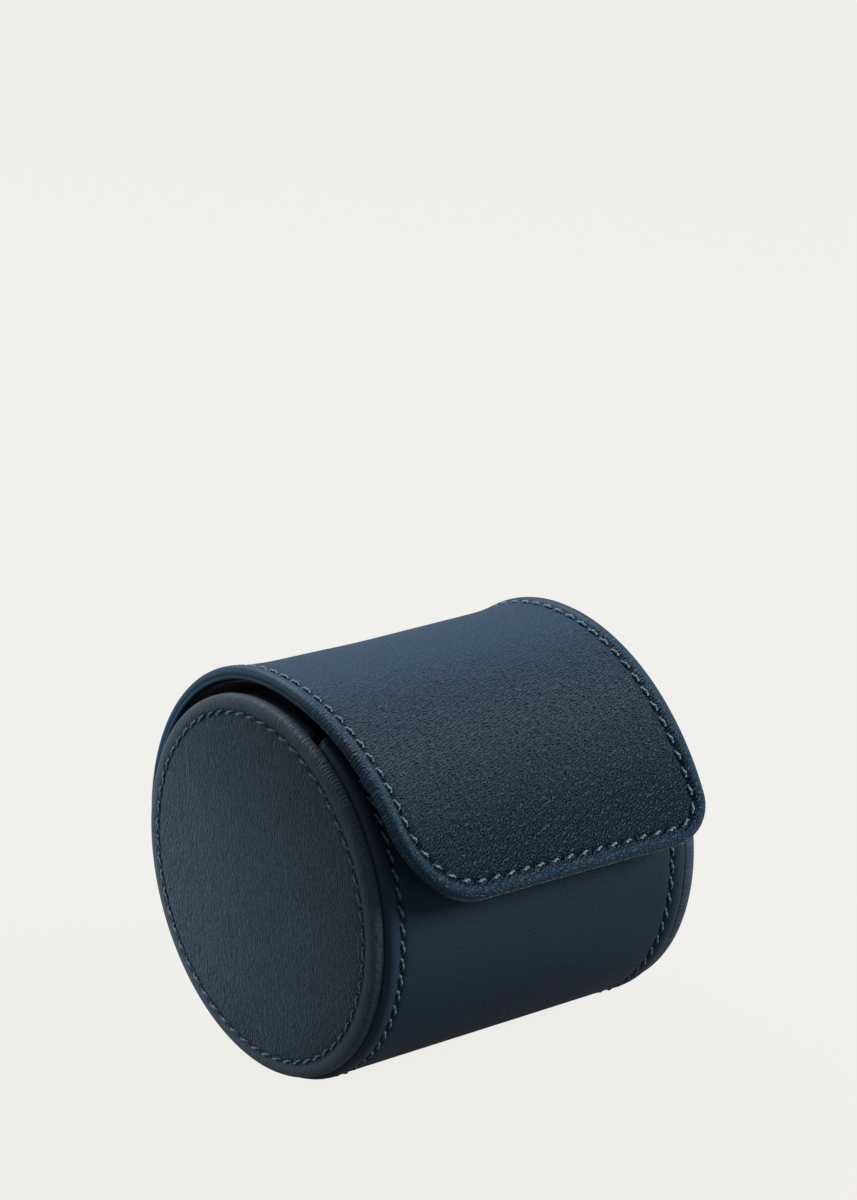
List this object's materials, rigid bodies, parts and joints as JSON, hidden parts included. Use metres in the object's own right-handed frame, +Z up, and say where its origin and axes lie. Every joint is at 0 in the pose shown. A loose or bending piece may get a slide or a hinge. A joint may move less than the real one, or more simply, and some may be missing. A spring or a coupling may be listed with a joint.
{
  "type": "watch roll",
  "caption": "Round leather watch case lying on its side, with disc ends, a hinged flap closed by hidden magnets and a loose suede cushion that a watch is strapped round.",
  "frame": {"origin": "centre of the flat base that the roll stands on, under the middle of its axis", "axes": "+Z up, +X along the roll's axis to the right end, the front with the flap's lower edge looks along -Y"},
  "size_m": [0.0874, 0.0973, 0.0904],
  "materials": {
    "navy_leather": "satin",
    "board": "matte",
    "lining_suede": "matte",
    "magnet": "satin",
    "keeper_steel": "satin",
    "cushion_suede": "matte",
    "foam": "matte"
  },
  "bodies": {
    "case": {"body_leather": "navy_leather", "body_board": "board", "body_lining": "lining_suede", "left_end_leather": "navy_leather", "left_end_board": "board", "left_end_lining": "lining_suede", "right_end_leather": "navy_leather", "right_end_board": "board", "right_end_lining": "lining_suede", "front_keepers": "keeper_steel", "tail_leather": "navy_leather", "tail_board": "board", "hinge_leather": "navy_leather", "hinge_lining": "lining_suede"},
    "flap": {"flap_leather": "navy_leather", "flap_board": "board", "flap_lining": "lining_suede", "flap_magnets": "magnet"},
    "cushion": {"cushion_cover": "cushion_suede", "cushion_left_end": "cushion_suede", "cushion_right_end": "cushion_suede", "cushion_foam": "foam"}
  },
  "joints": [
    {"name": "flap_hinge", "type": "hinge", "parent": "case", "child": "flap", "pos_m": [0, 0.04646, 0.05274], "axis": [-1, 0, 0], "range_deg": [0, 165], "deforming": ["hinge_leather", "hinge_lining"]},
    {"name": "cushion_lift", "type": "slide", "parent": "case", "child": "cushion", "axis": [0, 0.2863, 0.9581], "range_m": [0, 0.028]}
  ]
}
